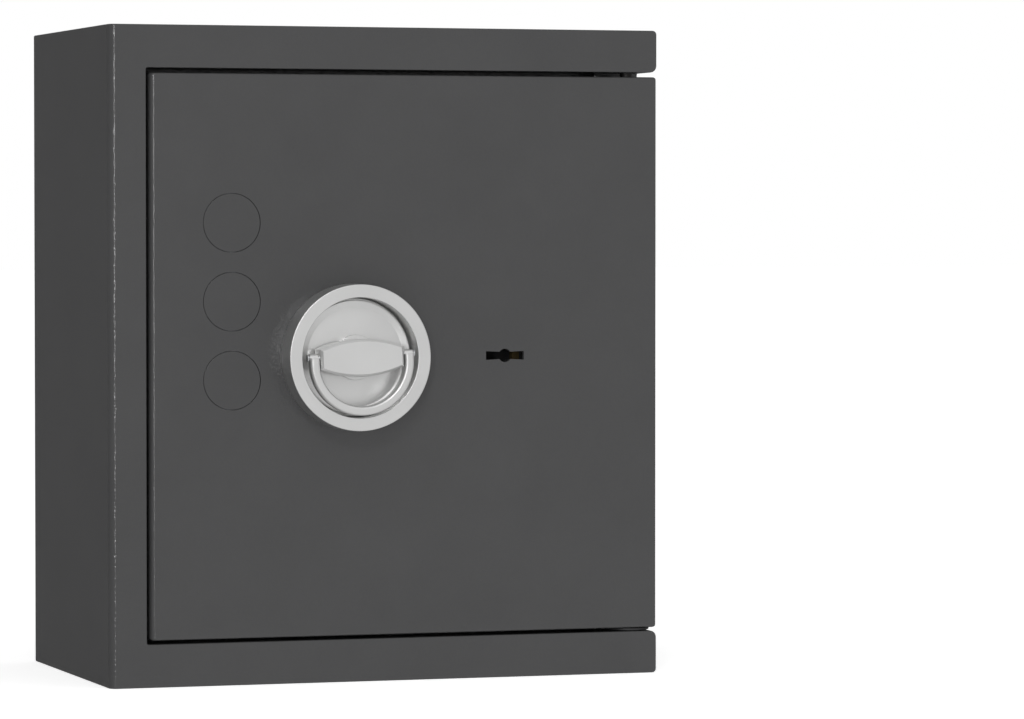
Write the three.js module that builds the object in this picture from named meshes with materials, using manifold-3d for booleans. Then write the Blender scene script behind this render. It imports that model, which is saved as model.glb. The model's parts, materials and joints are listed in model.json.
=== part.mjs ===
// Small wall safe with a right-hand flush door, a drop-ring turn handle and a double-bit key lock.
//
// Millimetres, +Z up. The origin is the middle of the back face, +X points right as seen from the
// front, and the front faces -Y. The door is closed, the round bolts and the lock bolt are withdrawn,
// and the ring of the handle hangs down.

import * as THREE from "three";
import { mergeVertices } from "three/addons/utils/BufferGeometryUtils.js";
import Module from "manifold-3d";

const wasm = await Module();
wasm.setup();

// ---------------------------------------------------------------- driving dimensions

const WIDTH = 280;
const HEIGHT = 320;
const DEPTH = 160;
const SHEET = 2.5; // casing and door returns
const THIN = 1.5; // liner, shelf and rear cover
const GAP = 0.3; // between pieces that touch
const TOL = 1; // how far a cutting solid runs past the piece it cuts
const OVERLAP = 0.1; // how far two joined solids run into each other
const M3 = { shank: 1.5, hole: 1.8, head: 3.1, thick: 1.8, reach: 7 };

const FRONT = -DEPTH;
const RIGHT = WIDTH / 2;
const LEFT = -RIGHT;
const TOP = HEIGHT / 2;

// Front frame: one stile on the left, and a rail above and below the door.
const STILE_INNER = -121.5;
const RAIL_TOP = 139.2;
const RAIL_BOTTOM = -139;
const STILE_LIP_BACK = -141.5;
const JAMB_FRONT = -131.5;
const JAMB_LEFT = 117;
const BEND = 4;

// Door: a folded pan that closes flush with the frame.
const DOOR = { left: -119.9, right: 140, bottom: -137.3, top: 136.9, back: -140, plate: 3 };
const DOOR_BEND = { left: 3, right: 2 };
const PLATE_BACK = FRONT + DOOR.plate;
const HINGE = { x: 128, y: -148, pin: 3, open: 3.3, reach: 10 };
const HINGE_BLOCK = { half: 8, tall: 12 };
const BUSH = { neck: 4.5, radius: 7, tall: 12 };
const WASHER_RADIUS = 11.5;
const PANEL_TAB = { half: 6, thick: 3, beyond: 5 };

// Rear cover: a shallow box behind the door that closes off the boltwork.
const COVER = { left: -113, right: 108, half: 127, back: -118 };
const COVER_FLANGE = DOOR.back + GAP;
const COVER_INSET = 0.4; // from the door's edges
const SIDE_BAR = { right: 121, front: -126.5, back: -123.5, half: 110 };

// Turn handle, measured from its own axis.
const HANDLE = { x: -18.6, z: -1, slack: THREE.MathUtils.degToRad(2.3) };
const FACE = FRONT - 15.8; // front face of the escutcheon
const ESCUTCHEON = {
  outer: 35.7,
  inner: 29.3,
  neck: 32.7,
  floor: -162.7,
  back: -153.2,
  bore: 7.3,
  chamfer: 0.5,
};
const ROTOR = { rim: 27.9, lip: 27.1, flat: 24.2, rimFront: -166.4, front: -165.6, back: -163 };
const BRIDGE = { half: 21, middle: 9.1, end: 4.9, back: -167.2, front: FACE - 3.6, chamfer: 1.2, hub: 11 };
const BAIL = { radius: 23.9, width: 4.4, front: FACE - 3.6, back: -173.2, drop: 1.9, round: 1.2, eye: 1.9 };
const BAIL_PIN = { y: FACE + 0.2, z: 1, radius: 1, head: 1.8, headThick: 0.8 };
const SPINDLE = { half: 5, round: 7, front: -172.5, back: -146.3, roundFront: -156, roundBack: -150.2 };
const SOCKET_PLAY = 0.5; // lets the grip and its dish stand a little off level
const GROOVE = { radius: 6, front: -152.95, back: -151.65 };
const CIRCLIP = { outer: 10.2, front: -152.7, back: -151.9, open: 2 };
const CLAMP = { half: 38, front: -152.9, back: -150.4, screwAt: 22, hole: 11, screwHole: 2, screwReach: 10 };

// Boltwork: a bar that a crank stud on the handle moves sideways.
const THROW = 16;
const CRANK = THROW / Math.SQRT2; // the stud swings 45 degrees either side of upright
const CRANK_SIDE = CRANK / Math.SQRT2;
const STUD = 3.5;
const CAM = { front: -149.9, back: -146.2, eye: 10, end: 5.5 };
const BAR = { left: -95, spineRight: -59, bottom: -105, top: 110, front: -145.9, back: -142.9 };
const BAR_FLANGE = { thick: 3, back: -124 };
const FORK = { play: 0.6, wall: 5 };
const ARM = { right: 86, bottom: 44, top: 64 };
const BOLT = { radius: 6, y: -132, tip: -113.5, nose: 1.5, heights: [88, -88] };
const RIVET = { shank: 3, head: 4.6, thick: 2 };
const GUIDE = { radius: 4, head: 7, headThick: 2 };
const GUIDE_SPOTS = [[-84, 100, PLATE_BACK + GAP], [-84, -70, PLATE_BACK + GAP], [20, 54, CLAMP.front]];

// Key lock.
const KEY = { x: 60.3, z: -0.9, half: 9.8, waist: 1.65, tip: 2.15, round: 3.3, relief: 0.5 };
const LOCK = { left: 30, right: 90, bottom: -45, top: 37, front: -152.9, back: -134.9, wall: 2 };
const LOCK_TRAVEL = 12;
const LOCK_PLAY = 0.4;
const LOCK_PILLAR = 3.5;
const LOCK_HEAD = { half: 4, top: 42.5, front: -148, back: -143 };
const LOCK_TAIL = { left: 42, right: 78, bottom: 11, top: 22, talon: 4 };
const LEVER = { x: 40, z: -32, post: 2.2, hole: 2.6, eye: 5.5, arm: 4, ring: 14, belly: 9.5 };
const LEVER_STACK = { thick: 1, step: 1.5, front: -142.5 };
const LOCK_SCREWS = [[36, 31], [84, -39]];

// Small pieces and the space inside.
const PLUG = { x: -79, radius: 14.2, hole: 14.5, heights: [64.5, 26.3, -11.9] };
const RETAINER = { half: 17, thick: 2, bottom: -30, top: 83 };
const ARMOUR = { left: -58, right: 100, half: 62, front: PLATE_BACK + GAP, back: -153.2 };
const COVER_SCREWS = [[-112, -131.5], [-112, 131.5], [112, -131.5], [112, 131.5]];
const LINER = { half: 119.5, top: 137, front: -117.5, back: -12.5 };
const ANCHOR = { x: 85, z: 85, radius: 6.5 };
const SHELF = { z: 8, front: -112, back: -16, lip: 12, play: 0.8 };
const PEG = { radius: 2.5, y: [-96, -34], inside: 8, outside: 6, room: 2 };

// ---------------------------------------------------------------- solids

const RIM = 48; // sides of the handle's cup and dish
const RING = 32; // sides of a large round
const MEDIUM = 24; // sides of a middling round
const SMALL = 14; // sides of a small round

// A closed three.js geometry as a solid for joining and cutting.
function solid(geometry) {
  const bare = geometry.clone();
  bare.deleteAttribute("normal");
  bare.deleteAttribute("uv");
  const welded = mergeVertices(bare, 1e-4);
  const points = welded.attributes.position.array;
  const index = welded.index.array;
  const triangles = [];
  let volume = 0;
  for (let i = 0; i < index.length; i += 3) {
    const [a, b, c] = [index[i], index[i + 1], index[i + 2]];
    if (a !== b && b !== c && c !== a) {
      triangles.push(a, b, c);
      const corner = [a, b, c].map((n) => new THREE.Vector3().fromArray(points, n * 3));
      volume += corner[0].dot(corner[1].cross(corner[2]));
    }
  }
  if (volume < 0) {
    triangles.reverse();
  }
  const mesh = new wasm.Mesh({
    numProp: 3,
    vertProperties: new Float32Array(points),
    triVerts: new Uint32Array(triangles),
  });
  return new wasm.Manifold(mesh);
}

function box(x0, x1, y0, y1, z0, z1) {
  const geometry = new THREE.BoxGeometry(x1 - x0, y1 - y0, z1 - z0);
  geometry.translate((x0 + x1) / 2, (y0 + y1) / 2, (z0 + z1) / 2);
  return solid(geometry);
}

// A flat outline drawn in X and Z, made solid between two depths.
function plate(outline, front, back, options = {}) {
  const geometry = new THREE.ExtrudeGeometry(outline, {
    depth: back - front,
    bevelEnabled: false,
    curveSegments: 10,
    ...options,
  });
  geometry.rotateX(Math.PI / 2);
  geometry.translate(0, back, 0);
  return solid(geometry);
}

// A round bar along Y.
function rod(x, z, radius, front, back, sides = SMALL) {
  const geometry = new THREE.CylinderGeometry(radius, radius, back - front, sides);
  geometry.translate(x, (front + back) / 2, z);
  return solid(geometry);
}

// A round bar along X.
function rodX(y, z, radius, left, right, sides = SMALL) {
  const geometry = new THREE.CylinderGeometry(radius, radius, right - left, sides);
  geometry.rotateZ(Math.PI / 2);
  geometry.translate((left + right) / 2, y, z);
  return solid(geometry);
}

// A round bar along Z.
function rodZ(x, y, radius, bottom, top, sides = SMALL) {
  const geometry = new THREE.CylinderGeometry(radius, radius, top - bottom, sides);
  geometry.rotateX(Math.PI / 2);
  geometry.translate(x, y, (bottom + top) / 2);
  return solid(geometry);
}

// A profile of [radius, y] points turned about the Y axis.
function turned(profile, sides = RING) {
  const points = profile.map(([radius, y]) => new THREE.Vector2(radius, y));
  return solid(new THREE.LatheGeometry(points, sides));
}

function joined(pieces) {
  return pieces.reduce((whole, piece) => whole.add(piece));
}

function cut(whole, cutters) {
  return cutters.reduce((rest, cutter) => rest.subtract(cutter), whole);
}

function outline(points) {
  return new THREE.Shape(points.map(([x, z]) => new THREE.Vector2(x, z)));
}

// ---------------------------------------------------------------- materials and assembly

function finish(color, metalness, roughness) {
  return new THREE.MeshStandardMaterial({ color, metalness, roughness });
}

const powderCoat = finish(0x4d4d4f, 0.1, 0.55);
const satinMetal = finish(0xc6c6c4, 0.9, 0.3);
const zincSteel = finish(0xa9adb0, 0.8, 0.4);
const brightSteel = finish(0xc9ccce, 0.9, 0.25);
const brass = finish(0xb5934f, 0.85, 0.35);
const board = finish(0xcfc8ba, 0, 0.95);
const lockCast = finish(0x3c3d3e, 0.6, 0.6);
const darkSteel = finish(0x5d5a57, 0.7, 0.6);
const nylon = finish(0x1d1d1e, 0, 0.6);

const safe = new THREE.Group();
const door = new THREE.Group();
const handle = new THREE.Group();
const ring = new THREE.Group();
safe.add(door);
door.add(handle);
handle.add(ring);
handle.position.set(HANDLE.x, 0, HANDLE.z);
ring.rotation.y = -HANDLE.slack;

function add(group, name, piece, material) {
  const data = piece.getMesh();
  const geometry = new THREE.BufferGeometry();
  geometry.setAttribute("position", new THREE.BufferAttribute(data.vertProperties, 3));
  geometry.setIndex(new THREE.BufferAttribute(data.triVerts, 1));
  const mesh = new THREE.Mesh(geometry, material);
  mesh.name = name;
  group.add(mesh);
}

// ---------------------------------------------------------------- casing

// The folded sheet in plan: a rounded bend runs down the front left edge.
function casingBlock() {
  const plan = new THREE.Shape();
  plan.moveTo(LEFT, 0);
  plan.lineTo(LEFT, FRONT + BEND);
  plan.absarc(LEFT + BEND, FRONT + BEND, BEND, Math.PI, Math.PI * 1.5, false);
  plan.lineTo(RIGHT, FRONT);
  plan.lineTo(RIGHT, 0);
  const geometry = new THREE.ExtrudeGeometry(plan, { depth: HEIGHT, bevelEnabled: false, curveSegments: 4 });
  geometry.translate(0, 0, -TOP);
  return solid(geometry);
}

function outerCasing() {
  const hollow = box(LEFT + SHEET, RIGHT - SHEET, FRONT + SHEET, TOL, -TOP + SHEET, TOP - SHEET);
  const doorway = box(STILE_INNER, RIGHT + TOL, FRONT - TOL, JAMB_FRONT, RAIL_BOTTOM, RAIL_TOP);
  const lipBack = JAMB_FRONT + SHEET;
  const lipLeft = STILE_INNER - SHEET;
  const [low, high] = [RAIL_BOTTOM - SHEET, RAIL_TOP + SHEET];
  const lips = [
    box(lipLeft, STILE_INNER, FRONT + SHEET, STILE_LIP_BACK, low, high),
    box(lipLeft, RIGHT - SHEET, FRONT + SHEET, lipBack, RAIL_TOP, high),
    box(lipLeft, RIGHT - SHEET, FRONT + SHEET, lipBack, low, RAIL_BOTTOM),
    box(JAMB_LEFT, RIGHT - SHEET, JAMB_FRONT, lipBack, RAIL_BOTTOM, RAIL_TOP),
  ];
  const shell = cut(casingBlock(), [hollow, doorway]);
  const pinHole = rodZ(HINGE.x, HINGE.y, HINGE.open, RAIL_BOTTOM - 2 * SHEET, RAIL_TOP + 2 * SHEET);
  return cut(joined([shell, ...lips]), [pinHole]);
}

function anchorHoles(radius, front, back) {
  const holes = [];
  for (const x of [-ANCHOR.x, ANCHOR.x]) {
    for (const z of [-ANCHOR.z, ANCHOR.z]) {
      holes.push(rod(x, z, radius, front - TOL, back + TOL));
    }
  }
  return holes;
}

function backPlate() {
  const half = RIGHT - SHEET - GAP;
  const tall = TOP - SHEET - GAP;
  return cut(box(-half, half, -SHEET, 0, -tall, tall), anchorHoles(ANCHOR.radius, -SHEET, 0));
}

// A thin box open to the front, with a flange that closes the wall space around it.
function innerLiner() {
  const reachX = RIGHT - SHEET - GAP;
  const reachZ = TOP - SHEET - GAP;
  const shell = box(-LINER.half, LINER.half, LINER.front, LINER.back, -LINER.top, LINER.top);
  const flange = box(-reachX, reachX, LINER.front, LINER.front + THIN, -reachZ, reachZ);
  const insideX = LINER.half - THIN;
  const insideZ = LINER.top - THIN;
  const hollow = box(-insideX, insideX, LINER.front - TOL, LINER.back - THIN, -insideZ, insideZ);
  const pegHoles = pegPlaces().map(([side, y]) => pegRod(side, y, PEG.radius + GAP, THIN + TOL));
  const clearHoles = anchorHoles(ANCHOR.radius + 1, LINER.back - THIN, LINER.back);
  return cut(shell.add(flange), [hollow, ...clearHoles, ...pegHoles]);
}

// Boards that fill the space between the casing and the liner.
function insulation() {
  const outerX = RIGHT - SHEET - GAP;
  const outerZ = TOP - SHEET - GAP;
  const innerX = LINER.half + GAP;
  const innerZ = LINER.top + GAP;
  const front = LINER.front + THIN + GAP;
  const back = -SHEET - GAP;
  const behind = LINER.back + GAP;
  const [roomRadius, roomLength] = [PEG.radius + PEG.room, PEG.outside + PEG.room];
  const pegRoom = pegPlaces().map(([side, y]) => pegRod(side, y, roomRadius, roomLength));
  const boards = {
    insulation_top: box(-outerX, outerX, front, back, innerZ, outerZ),
    insulation_bottom: box(-outerX, outerX, front, back, -outerZ, -innerZ),
    insulation_left: cut(box(-outerX, -innerX, front, back, -LINER.top, LINER.top), pegRoom),
    insulation_right: cut(box(innerX, outerX, front, back, -LINER.top, LINER.top), pegRoom),
    insulation_back: cut(
      box(-LINER.half, LINER.half, behind, back, -LINER.top, LINER.top),
      anchorHoles(ANCHOR.radius + 2, behind, back),
    ),
  };
  for (const [name, piece] of Object.entries(boards)) {
    add(safe, name, piece, board);
  }
}

// A flat bar behind the stile's lip, which the thrown bolts stand behind.
function keeperStrip() {
  const front = STILE_LIP_BACK + GAP;
  const [left, right] = [LEFT + SHEET + GAP, STILE_INNER - GAP];
  return box(left, right, front, front + SHEET, RAIL_BOTTOM + SHEET, RAIL_TOP - SHEET);
}

function pegPlaces() {
  return [-1, 1].flatMap((side) => PEG.y.map((y) => [side, y]));
}

function pegRod(side, y, radius, length) {
  const inner = side * (LINER.half - THIN);
  const outer = inner + side * length;
  return rodX(y, SHELF.z - PEG.radius - GAP, radius, Math.min(inner, outer), Math.max(inner, outer));
}

function shelf() {
  const half = LINER.half - THIN - SHELF.play;
  const top = SHELF.z + THIN;
  const deck = box(-half, half, SHELF.front, SHELF.back, SHELF.z, top);
  const lip = box(-half, half, SHELF.front, SHELF.front + THIN, SHELF.z - SHELF.lip, top);
  return deck.add(lip);
}

function shelfPegs() {
  pegPlaces().forEach(([side, y], number) => {
    const shank = pegRod(side, y, PEG.radius, PEG.outside);
    const inside = pegRod(side, y, PEG.radius, -PEG.inside);
    add(safe, `shelf_peg_${number + 1}`, shank.add(inside), brightSteel);
  });
}

// ---------------------------------------------------------------- hinges

// The pin stands in a block inside each rail and turns in a bush inside the door.
function hinges() {
  const places = [["upper", 1, RAIL_TOP, DOOR.top], ["lower", -1, RAIL_BOTTOM, DOOR.bottom]];
  for (const [name, side, rail, edge] of places) {
    const at = (a, b) => [Math.min(side * a, side * b), Math.max(side * a, side * b)];
    const lip = Math.abs(rail) + SHEET + GAP;
    const inside = Math.abs(edge) - SHEET - GAP;
    const bore = rodZ(HINGE.x, HINGE.y, HINGE.open, -TOP, TOP);
    const { x, y } = HINGE;
    const { half, tall } = HINGE_BLOCK;
    const block = box(x - half, x + half, y - half, y + half, ...at(lip, lip + tall));
    const pin = rodZ(x, y, HINGE.pin, ...at(inside - HINGE.reach, lip + tall));
    const neck = rodZ(x, y, BUSH.neck, ...at(inside - TOL, inside + SHEET));
    const bush = rodZ(x, y, BUSH.radius, ...at(inside - BUSH.tall, inside));
    add(safe, `hinge_block_${name}`, block.subtract(bore), zincSteel);
    add(safe, `hinge_pin_${name}`, pin, darkSteel);
    add(door, `hinge_bush_${name}`, bush.add(neck).subtract(bore), brass);
  }
  const washer = rodZ(HINGE.x, HINGE.y, WASHER_RADIUS, RAIL_BOTTOM + GAP, DOOR.bottom - GAP, MEDIUM);
  const eye = rodZ(HINGE.x, HINGE.y, HINGE.open, RAIL_BOTTOM, DOOR.bottom);
  add(door, "hinge_washer", washer.subtract(eye), nylon);
}

// ---------------------------------------------------------------- door

// The double-bit keyhole, grown evenly by a margin for the pieces behind the door plate.
function keyhole(margin, front, back) {
  const end = KEY.half + margin;
  const waist = KEY.waist + margin;
  const tip = KEY.tip + margin;
  const wings = outline([
    [KEY.x - end, KEY.z - tip],
    [KEY.x, KEY.z - waist],
    [KEY.x + end, KEY.z - tip],
    [KEY.x + end, KEY.z + tip],
    [KEY.x, KEY.z + waist],
    [KEY.x - end, KEY.z + tip],
  ]);
  return plate(wings, front, back).add(rod(KEY.x, KEY.z, KEY.round + margin, front, back));
}

function doorBlock() {
  const { left, right } = DOOR_BEND;
  const plan = new THREE.Shape();
  plan.moveTo(DOOR.left, DOOR.back);
  plan.lineTo(DOOR.left, FRONT + left);
  plan.absarc(DOOR.left + left, FRONT + left, left, Math.PI, Math.PI * 1.5, false);
  plan.lineTo(DOOR.right - right, FRONT);
  plan.absarc(DOOR.right - right, FRONT + right, right, -Math.PI / 2, 0, false);
  plan.lineTo(DOOR.right, DOOR.back);
  const depth = DOOR.top - DOOR.bottom;
  const geometry = new THREE.ExtrudeGeometry(plan, { depth, bevelEnabled: false, curveSegments: 4 });
  geometry.translate(0, 0, DOOR.bottom);
  return solid(geometry);
}

function doorPanel() {
  const [left, right] = [DOOR.left + SHEET, DOOR.right - SHEET];
  const [bottom, top] = [DOOR.bottom + SHEET, DOOR.top - SHEET];
  const hollow = box(left, right, PLATE_BACK, DOOR.back + TOL, bottom, top);
  const tabs = COVER_SCREWS.map(([x, z]) => {
    const { half, thick, beyond } = PANEL_TAB;
    const tall = z > 0 ? [z - beyond, top + TOL] : [bottom - TOL, z + beyond];
    return box(x - half, x + half, DOOR.back - thick, DOOR.back, ...tall);
  });
  const through = [
    ...PLUG.heights.map((z) => rod(PLUG.x, z, PLUG.hole, FRONT - TOL, PLATE_BACK + TOL, RING)),
    ...COVER_SCREWS.map(([x, z]) => rod(x, z, M3.hole, DOOR.back - 2 * PANEL_TAB.thick, DOOR.back + TOL)),
    rod(HANDLE.x, HANDLE.z, ESCUTCHEON.neck + GAP, FRONT - TOL, PLATE_BACK + TOL, RING),
    keyhole(0, FRONT - TOL, PLATE_BACK + TOL),
    rodZ(HINGE.x, HINGE.y, BUSH.neck + GAP, DOOR.bottom - TOL, DOOR.top + TOL),
  ];
  return cut(joined([doorBlock().subtract(hollow), ...tabs]), through);
}

function blankingPlugs() {
  PLUG.heights.forEach((z, number) => {
    const disc = rod(PLUG.x, z, PLUG.radius, FRONT, PLATE_BACK, RING);
    add(door, `blanking_plug_${number + 1}`, disc, powderCoat);
  });
  const front = PLATE_BACK + GAP;
  const { half, thick, bottom, top } = RETAINER;
  add(door, "plug_retainer", box(PLUG.x - half, PLUG.x + half, front, front + thick, bottom, top), zincSteel);
}

function armourPlate() {
  const { left, right, half, front, back } = ARMOUR;
  const slab = box(left, right, front, back, -half, half);
  const neckHole = rod(HANDLE.x, HANDLE.z, ESCUTCHEON.neck + GAP, front - TOL, back + TOL, RING);
  return cut(slab, [neckHole, keyhole(KEY.relief, front - TOL, back + TOL)]);
}

function rearCover() {
  const [left, right] = [DOOR.left + COVER_INSET, DOOR.right - COVER_INSET];
  const [bottom, top] = [DOOR.bottom + COVER_INSET, DOOR.top - COVER_INSET];
  const flange = box(left, right, COVER_FLANGE, COVER_FLANGE + THIN, bottom, top);
  const shell = box(COVER.left, COVER.right, COVER_FLANGE, COVER.back, -COVER.half, COVER.half);
  const inside = COVER.half - THIN;
  const [innerLeft, innerRight] = [COVER.left + THIN, COVER.right - THIN];
  const hollow = box(innerLeft, innerRight, COVER_FLANGE - TOL, COVER.back - THIN, -inside, inside);
  const boltHoles = BOLT.heights.map((z) =>
    rodX(BOLT.y, z, BOLT.radius + GAP, COVER.left - TOL, COVER.left + THIN + TOL, RING));
  const screwHoles = COVER_SCREWS.map(([x, z]) =>
    rod(x, z, M3.hole, COVER_FLANGE - TOL, COVER_FLANGE + THIN + TOL));
  return cut(flange.add(shell), [hollow, ...boltHoles, ...screwHoles]);
}

// A pan-head screw driven from behind: its tip, and the seat that its head stands on.
function screw(x, z, size, tip, seat) {
  const head = rod(x, z, size.head, seat, seat + size.thick);
  return rod(x, z, size.shank, tip, seat + OVERLAP).add(head);
}

function coverScrews() {
  COVER_SCREWS.forEach(([x, z], number) => {
    const seat = COVER_FLANGE + THIN + GAP;
    add(door, `cover_screw_${number + 1}`, screw(x, z, M3, seat - M3.reach, seat), zincSteel);
  });
}

// A fixed hook on the hinge side that stands behind the jamb when the door is shut.
function hingeSideBar() {
  const left = COVER.right + GAP;
  const { right, front, back, half } = SIDE_BAR;
  const leg = box(left, left + back - front, COVER_FLANGE + THIN + GAP, back, -half, half);
  const foot = box(left, right, front, back, -half, half);
  return leg.add(foot);
}

// ---------------------------------------------------------------- handle

// The fixed cup that the handle turns in. Its neck passes through the door plate.
function escutcheon() {
  const { outer, inner, neck, floor, back, bore, chamfer } = ESCUTCHEON;
  const seat = FRONT - GAP;
  const body = turned([
    [outer, seat],
    [outer, FACE + chamfer],
    [outer - chamfer, FACE],
    [inner + chamfer, FACE],
    [inner, FACE + chamfer],
    [inner, floor],
    [bore, floor],
    [bore, back],
    [neck, back],
    [neck, seat],
    [outer, seat],
  ], RIM);
  return cut(body, clampScrewHoles(floor, back));
}

function clampScrewHoles(front, back) {
  return [-1, 1].map((side) => rod(side * CLAMP.screwAt, 0, CLAMP.screwHole, front - TOL, back + TOL));
}

function clampPlate() {
  const { half, front, back, hole } = CLAMP;
  const slab = box(-half, half, front, back, -half, half);
  return cut(slab, [rod(0, 0, hole, front - TOL, back + TOL), ...clampScrewHoles(front, back)]);
}

// The shallow dish that turns inside the cup.
function rotor() {
  const dish = turned([
    [0, ROTOR.back],
    [ROTOR.rim, ROTOR.back],
    [ROTOR.rim, ROTOR.rimFront],
    [ROTOR.lip, ROTOR.rimFront],
    [ROTOR.flat, ROTOR.front],
    [0, ROTOR.front],
  ], RIM);
  const square = SPINDLE.half + SOCKET_PLAY;
  return dish.subtract(box(-square, square, ROTOR.front - TOL, ROTOR.back + TOL, -square, square));
}

function bailPinHole() {
  return rodX(BAIL_PIN.y, BAIL_PIN.z, BAIL_PIN.radius + GAP, -RIGHT, RIGHT, SMALL);
}

// The hub and the barrel-shaped grip across it.
function bridge() {
  const rise = BRIDGE.middle - BRIDGE.end;
  const radius = (BRIDGE.half ** 2 + rise ** 2) / (2 * rise);
  const sweep = Math.asin(BRIDGE.half / radius);
  const inset = BRIDGE.chamfer;
  const side = radius - inset;
  const grip = new THREE.Shape();
  const centre = BRIDGE.middle - radius;
  const turn = Math.asin((BRIDGE.half - inset) / side);
  grip.absarc(0, centre, side, Math.PI / 2 + turn, Math.PI / 2 - turn, true);
  grip.absarc(0, -centre, side, -Math.PI / 2 + turn, -Math.PI / 2 - turn, true);
  const body = plate(grip, BRIDGE.front + inset, BRIDGE.back - inset, {
    bevelEnabled: true,
    bevelSize: inset,
    bevelThickness: inset,
    bevelSegments: 1,
    curveSegments: Math.round(sweep * 30),
  });
  const hub = rod(0, 0, BRIDGE.hub, BRIDGE.back - TOL, ROTOR.front - GAP, RING);
  const square = SPINDLE.half + SOCKET_PLAY;
  const socket = box(-square, square, SPINDLE.front - GAP, ROTOR.front, -square, square);
  return cut(body.add(hub), [socket, bailPinHole()]);
}

function spindle() {
  const square = box(-SPINDLE.half, SPINDLE.half, SPINDLE.front, SPINDLE.back, -SPINDLE.half, SPINDLE.half);
  const collar = turned([
    [0, SPINDLE.roundFront],
    [SPINDLE.round, SPINDLE.roundFront],
    [SPINDLE.round, GROOVE.front],
    [GROOVE.radius, GROOVE.front],
    [GROOVE.radius, GROOVE.back],
    [SPINDLE.round, GROOVE.back],
    [SPINDLE.round, SPINDLE.roundBack],
    [0, SPINDLE.roundBack],
  ], MEDIUM);
  const span = 2 * SPINDLE.half;
  return square.subtract(box(-span, span, GROOVE.front, GROOVE.back, -span, span)).add(collar);
}

function circlip() {
  const { outer, front, back, open } = CIRCLIP;
  const eye = rod(0, 0, GROOVE.radius + GAP, front - TOL, back + TOL, MEDIUM);
  const mouth = box(-open, open, front - TOL, back + TOL, -2 * outer, 0);
  return cut(rod(0, 0, outer, front, back, MEDIUM), [eye, mouth]);
}

// The crank behind the door: a plate on the spindle's square, with a stud for the bolt bar.
function driveCam() {
  const eye = rod(0, 0, CAM.eye, CAM.front, CAM.back, RING);
  const end = rod(CRANK_SIDE, CRANK_SIDE, CAM.end, CAM.front, CAM.back, MEDIUM);
  const half = CAM.end / Math.SQRT2;
  const [near, far] = [CRANK_SIDE - half, CRANK_SIDE + half];
  const web = outline([[-half, half], [half, -half], [far, near], [near, far]]);
  const stud = rod(CRANK_SIDE, CRANK_SIDE, STUD, CAM.front, BAR.back + SHEET / 2, MEDIUM);
  const square = SPINDLE.half + GAP;
  const body = joined([eye, end, plate(web, CAM.front, CAM.back), stud]);
  return body.subtract(box(-square, square, CAM.front - TOL, CAM.back + TOL, -square, square));
}

// The ring: a half round with two straight legs, each ending in an eye around the pin.
function bail() {
  const inset = BAIL.round;
  const outer = BAIL.radius + BAIL.width / 2 - inset;
  const inner = BAIL.radius - BAIL.width / 2 + inset;
  const shape = new THREE.Shape();
  const top = BAIL_PIN.z - inset;
  shape.moveTo(-outer, top);
  shape.lineTo(-outer, -BAIL.drop);
  shape.absarc(0, -BAIL.drop, outer, Math.PI, Math.PI * 2, false);
  shape.lineTo(outer, top);
  shape.lineTo(inner, top);
  shape.lineTo(inner, -BAIL.drop);
  shape.absarc(0, -BAIL.drop, inner, Math.PI * 2, Math.PI, true);
  shape.lineTo(-inner, top);
  const bow = plate(shape, BAIL.front + inset, BAIL.back - inset, {
    bevelEnabled: true,
    bevelSize: inset,
    bevelThickness: inset,
    bevelSegments: 1,
    curveSegments: 18,
  });
  const near = BAIL.radius - BAIL.width / 2;
  const far = BAIL.radius + BAIL.width / 2;
  const eyes = [-1, 1].map((side) => {
    const [left, right] = side > 0 ? [near, far] : [-far, -near];
    return rodX(BAIL_PIN.y, BAIL_PIN.z, BAIL.eye, left, right);
  });
  return joined([bow, ...eyes]).subtract(bailPinHole());
}

function bailPin() {
  const end = BAIL.radius + BAIL.width / 2 + GAP;
  const shaft = rodX(BAIL_PIN.y, BAIL_PIN.z, BAIL_PIN.radius, -end - OVERLAP, end + OVERLAP);
  const heads = [-1, 1].map((side) => {
    const [left, right] = side > 0 ? [end, end + BAIL_PIN.headThick] : [-end - BAIL_PIN.headThick, -end];
    return rodX(BAIL_PIN.y, BAIL_PIN.z, BAIL_PIN.head, left, right);
  });
  return joined([shaft, ...heads]);
}

function handleAssembly() {
  add(handle, "handle_escutcheon", escutcheon(), satinMetal);
  add(handle, "handle_clamp_plate", clampPlate(), zincSteel);
  [-1, 1].forEach((side, number) => {
    const seat = CLAMP.back + GAP;
    const piece = screw(side * CLAMP.screwAt, 0, M3, seat - CLAMP.screwReach, seat);
    add(handle, `clamp_screw_${number + 1}`, piece, zincSteel);
  });
  add(ring, "handle_rotor", rotor(), satinMetal);
  add(ring, "handle_bridge", bridge(), satinMetal);
  add(handle, "handle_spindle", spindle(), zincSteel);
  add(ring, "bail_pin", bailPin(), brightSteel);
  add(ring, "bail", bail(), satinMetal);
  add(handle, "spindle_circlip", circlip(), brightSteel);
  add(handle, "drive_cam", driveCam(), zincSteel);
}

// ---------------------------------------------------------------- boltwork

// A slot along X that a guide stud stays at the left end of while the bolts are withdrawn.
function slot(x, z, radius) {
  const front = BAR.front - TOL;
  const back = BAR.back + TOL;
  return joined([
    rod(x, z, radius, front, back),
    rod(x + THROW, z, radius, front, back),
    box(x, x + THROW, front, back, z - radius, z + radius),
  ]);
}

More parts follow.
